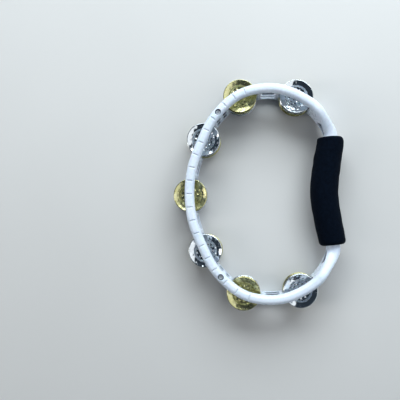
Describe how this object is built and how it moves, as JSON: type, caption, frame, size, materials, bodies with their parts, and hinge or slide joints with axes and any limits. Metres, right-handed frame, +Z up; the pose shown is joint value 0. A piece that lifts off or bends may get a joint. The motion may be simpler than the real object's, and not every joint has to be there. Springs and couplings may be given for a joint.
{
  "type": "tambourine",
  "caption": "Handheld crescent tambourine: white two-part moulded hoop, two rows of brass and steel jingle pairs on upright pins, and a foam-covered grip.",
  "frame": {"origin": "under the middle of the whole object, on the surface it lies on", "axes": "+Z up, across the two rows of jingles; +Y along the grip; +X from the striking side towards the grip"},
  "size_m": [0.2006, 0.2708, 0.048],
  "materials": {
    "abs_white": "smooth moulded, semi-gloss",
    "foam": "closed-cell foam, matte",
    "steel": "nickel-plated, hammered",
    "brass": "hammered, slightly dulled",
    "pin_steel": "drawn wire and zinc-plated screws"
  },
  "bodies": {
    "hoop": {"upper_frame": "abs_white", "lower_frame": "abs_white", "foam_grip": "foam", "screw_1": "pin_steel", "screw_2": "pin_steel", "screw_3": "pin_steel", "screw_4": "pin_steel", "pin_1": "pin_steel", "pin_2": "pin_steel", "pin_3": "pin_steel", "pin_4": "pin_steel", "pin_5": "pin_steel", "pin_6": "pin_steel", "pin_7": "pin_steel"},
    "jingle_1_high_bottom": {"jingle_1_high_bottom": "steel"},
    "jingle_1_high_top": {"jingle_1_high_top": "steel"},
    "jingle_1_low_bottom": {"jingle_1_low_bottom": "brass"},
    "jingle_1_low_top": {"jingle_1_low_top": "brass"},
    "jingle_2_high_bottom": {"jingle_2_high_bottom": "brass"},
    "jingle_2_high_top": {"jingle_2_high_top": "brass"},
    "jingle_2_low_bottom": {"jingle_2_low_bottom": "steel"},
    "jingle_2_low_top": {"jingle_2_low_top": "steel"},
    "jingle_3_high_bottom": {"jingle_3_high_bottom": "steel"},
    "jingle_3_high_top": {"jingle_3_high_top": "steel"},
    "jingle_3_low_bottom": {"jingle_3_low_bottom": "brass"},
    "jingle_3_low_top": {"jingle_3_low_top": "brass"},
    "jingle_4_high_bottom": {"jingle_4_high_bottom": "brass"},
    "jingle_4_high_top": {"jingle_4_high_top": "brass"},
    "jingle_4_low_bottom": {"jingle_4_low_bottom": "steel"},
    "jingle_4_low_top": {"jingle_4_low_top": "steel"},
    "jingle_5_high_bottom": {"jingle_5_high_bottom": "steel"},
    "jingle_5_high_top": {"jingle_5_high_top": "steel"},
    "jingle_5_low_bottom": {"jingle_5_low_bottom": "brass"},
    "jingle_5_low_top": {"jingle_5_low_top": "brass"},
    "jingle_6_high_bottom": {"jingle_6_high_bottom": "brass"},
    "jingle_6_high_top": {"jingle_6_high_top": "brass"},
    "jingle_6_low_bottom": {"jingle_6_low_bottom": "steel"},
    "jingle_6_low_top": {"jingle_6_low_top": "steel"},
    "jingle_7_high_bottom": {"jingle_7_high_bottom": "steel"},
    "jingle_7_high_top": {"jingle_7_high_top": "steel"},
    "jingle_7_low_bottom": {"jingle_7_low_bottom": "brass"},
    "jingle_7_low_top": {"jingle_7_low_top": "brass"}
  },
  "joints": [
    {"name": "rattle_1_high_bottom", "type": "slide", "parent": "hoop", "child": "jingle_1_high_bottom", "axis": [0, 0, 1], "range_m": [0, 0.0029]},
    {"name": "rattle_1_high_top", "type": "slide", "parent": "jingle_1_high_bottom", "child": "jingle_1_high_top", "axis": [0, 0, 1], "range_m": [0, 0.0029]},
    {"name": "rattle_1_low_bottom", "type": "slide", "parent": "hoop", "child": "jingle_1_low_bottom", "axis": [0, 0, 1], "range_m": [0, 0.0029]},
    {"name": "rattle_1_low_top", "type": "slide", "parent": "jingle_1_low_bottom", "child": "jingle_1_low_top", "axis": [0, 0, 1], "range_m": [0, 0.0029]},
    {"name": "rattle_2_high_bottom", "type": "slide", "parent": "hoop", "child": "jingle_2_high_bottom", "axis": [0, 0, 1], "range_m": [0, 0.0029]},
    {"name": "rattle_2_high_top", "type": "slide", "parent": "jingle_2_high_bottom", "child": "jingle_2_high_top", "axis": [0, 0, 1], "range_m": [0, 0.0029]},
    {"name": "rattle_2_low_bottom", "type": "slide", "parent": "hoop", "child": "jingle_2_low_bottom", "axis": [0, 0, 1], "range_m": [0, 0.0029]},
    {"name": "rattle_2_low_top", "type": "slide", "parent": "jingle_2_low_bottom", "child": "jingle_2_low_top", "axis": [0, 0, 1], "range_m": [0, 0.0029]},
    {"name": "rattle_3_high_bottom", "type": "slide", "parent": "hoop", "child": "jingle_3_high_bottom", "axis": [0, 0, 1], "range_m": [0, 0.0029]},
    {"name": "rattle_3_high_top", "type": "slide", "parent": "jingle_3_high_bottom", "child": "jingle_3_high_top", "axis": [0, 0, 1], "range_m": [0, 0.0029]},
    {"name": "rattle_3_low_bottom", "type": "slide", "parent": "hoop", "child": "jingle_3_low_bottom", "axis": [0, 0, 1], "range_m": [0, 0.0029]},
    {"name": "rattle_3_low_top", "type": "slide", "parent": "jingle_3_low_bottom", "child": "jingle_3_low_top", "axis": [0, 0, 1], "range_m": [0, 0.0029]},
    {"name": "rattle_4_high_bottom", "type": "slide", "parent": "hoop", "child": "jingle_4_high_bottom", "axis": [0, 0, 1], "range_m": [0, 0.0029]},
    {"name": "rattle_4_high_top", "type": "slide", "parent": "jingle_4_high_bottom", "child": "jingle_4_high_top", "axis": [0, 0, 1], "range_m": [0, 0.0029]},
    {"name": "rattle_4_low_bottom", "type": "slide", "parent": "hoop", "child": "jingle_4_low_bottom", "axis": [0, 0, 1], "range_m": [0, 0.0029]},
    {"name": "rattle_4_low_top", "type": "slide", "parent": "jingle_4_low_bottom", "child": "jingle_4_low_top", "axis": [0, 0, 1], "range_m": [0, 0.0029]},
    {"name": "rattle_5_high_bottom", "type": "slide", "parent": "hoop", "child": "jingle_5_high_bottom", "axis": [0, 0, 1], "range_m": [0, 0.0029]},
    {"name": "rattle_5_high_top", "type": "slide", "parent": "jingle_5_high_bottom", "child": "jingle_5_high_top", "axis": [0, 0, 1], "range_m": [0, 0.0029]},
    {"name": "rattle_5_low_bottom", "type": "slide", "parent": "hoop", "child": "jingle_5_low_bottom", "axis": [0, 0, 1], "range_m": [0, 0.0029]},
    {"name": "rattle_5_low_top", "type": "slide", "parent": "jingle_5_low_bottom", "child": "jingle_5_low_top", "axis": [0, 0, 1], "range_m": [0, 0.0029]},
    {"name": "rattle_6_high_bottom", "type": "slide", "parent": "hoop", "child": "jingle_6_high_bottom", "axis": [0, 0, 1], "range_m": [0, 0.0029]},
    {"name": "rattle_6_high_top", "type": "slide", "parent": "jingle_6_high_bottom", "child": "jingle_6_high_top", "axis": [0, 0, 1], "range_m": [0, 0.0029]},
    {"name": "rattle_6_low_bottom", "type": "slide", "parent": "hoop", "child": "jingle_6_low_bottom", "axis": [0, 0, 1], "range_m": [0, 0.0029]},
    {"name": "rattle_6_low_top", "type": "slide", "parent": "jingle_6_low_bottom", "child": "jingle_6_low_top", "axis": [0, 0, 1], "range_m": [0, 0.0029]},
    {"name": "rattle_7_high_bottom", "type": "slide", "parent": "hoop", "child": "jingle_7_high_bottom", "axis": [0, 0, 1], "range_m": [0, 0.0029]},
    {"name": "rattle_7_high_top", "type": "slide", "parent": "jingle_7_high_bottom", "child": "jingle_7_high_top", "axis": [0, 0, 1], "range_m": [0, 0.0029]},
    {"name": "rattle_7_low_bottom", "type": "slide", "parent": "hoop", "child": "jingle_7_low_bottom", "axis": [0, 0, 1], "range_m": [0, 0.0029]},
    {"name": "rattle_7_low_top", "type": "slide", "parent": "jingle_7_low_bottom", "child": "jingle_7_low_top", "axis": [0, 0, 1], "range_m": [0, 0.0029]}
  ]
}
